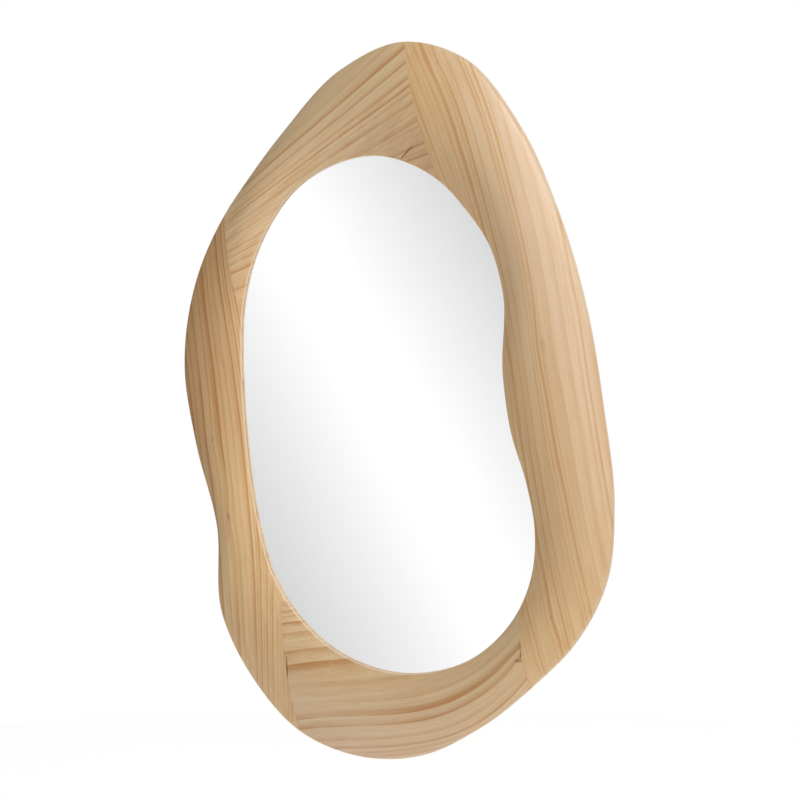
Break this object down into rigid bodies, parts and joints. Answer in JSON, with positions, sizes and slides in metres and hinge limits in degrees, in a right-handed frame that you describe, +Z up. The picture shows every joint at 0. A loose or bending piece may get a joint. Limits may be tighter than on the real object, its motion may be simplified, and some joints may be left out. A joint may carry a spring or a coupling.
{
  "type": "wall mirror",
  "caption": "Wall mirror in a free-form pine frame of jointed boards with an arched front, rebated glass, backing, turn buttons and swinging hanger rings.",
  "frame": {"origin": "centre of the bounding box", "axes": "+X to the viewer's right, -Y out of the mirror's front, +Y towards the wall, +Z up"},
  "size_m": [0.587, 0.0482, 0.8998],
  "materials": {
    "pine": "sanded and oiled, satin",
    "beech": "plain",
    "silvered_glass": "polished",
    "foam_tape": "matte foam",
    "felt": "felt",
    "fibreboard": "raw fibreboard",
    "zinc_steel": "bright zinc plated",
    "bumper_rubber": "translucent soft bumper"
  },
  "bodies": {
    "mirror": {"left_stile": "pine", "right_stile": "pine", "top_rail": "pine", "bottom_rail": "pine", "joint_dowels": "beech", "mirror_pane": "silvered_glass", "edge_tape": "foam_tape", "felt_pad": "felt", "backing_panel": "fibreboard", "button_screws": "zinc_steel", "hanger_strap_left": "zinc_steel", "hanger_strap_right": "zinc_steel", "strap_screws": "zinc_steel", "wall_bumpers": "bumper_rubber"},
    "ring_left": {"hanger_ring_left": "zinc_steel"},
    "ring_right": {"hanger_ring_right": "zinc_steel"},
    "button_1": {"turn_button_1": "zinc_steel"},
    "button_2": {"turn_button_2": "zinc_steel"},
    "button_3": {"turn_button_3": "zinc_steel"},
    "button_4": {"turn_button_4": "zinc_steel"},
    "button_5": {"turn_button_5": "zinc_steel"},
    "button_6": {"turn_button_6": "zinc_steel"},
    "button_7": {"turn_button_7": "zinc_steel"},
    "button_8": {"turn_button_8": "zinc_steel"}
  },
  "joints": [
    {"name": "ring_left_hinge", "type": "hinge", "parent": "mirror", "child": "ring_left", "pos_m": [-0.247, 0.01858, 0.12], "axis": [-1, 0, 0], "range_deg": [0, 175]},
    {"name": "ring_right_hinge", "type": "hinge", "parent": "mirror", "child": "ring_right", "pos_m": [0.2, 0.01858, 0.12], "axis": [-1, 0, 0], "range_deg": [0, 175]},
    {"name": "button_1_turn", "type": "hinge", "parent": "mirror", "child": "button_1", "pos_m": [-0.19752, 0.01705, 0.22201], "axis": [0, 1, 0], "continuous": true},
    {"name": "button_2_turn", "type": "hinge", "parent": "mirror", "child": "button_2", "pos_m": [0.00898, 0.01705, 0.32714], "axis": [0, 1, 0], "continuous": true},
    {"name": "button_3_turn", "type": "hinge", "parent": "mirror", "child": "button_3", "pos_m": [0.16273, 0.01705, 0.17732], "axis": [0, 1, 0], "continuous": true},
    {"name": "button_4_turn", "type": "hinge", "parent": "mirror", "child": "button_4", "pos_m": [0.18562, 0.01705, -0.03604], "axis": [0, 1, 0], "continuous": true},
    {"name": "button_5_turn", "type": "hinge", "parent": "mirror", "child": "button_5", "pos_m": [0.15799, 0.01705, -0.29698], "axis": [0, 1, 0], "continuous": true},
    {"name": "button_6_turn", "type": "hinge", "parent": "mirror", "child": "button_6", "pos_m": [-0.019, 0.01705, -0.35834], "axis": [0, 1, 0], "continuous": true},
    {"name": "button_7_turn", "type": "hinge", "parent": "mirror", "child": "button_7", "pos_m": [-0.19611, 0.01705, -0.2202], "axis": [0, 1, 0], "continuous": true},
    {"name": "button_8_turn", "type": "hinge", "parent": "mirror", "child": "button_8", "pos_m": [-0.23329, 0.01705, 0.00038], "axis": [0, 1, 0], "continuous": true}
  ]
}
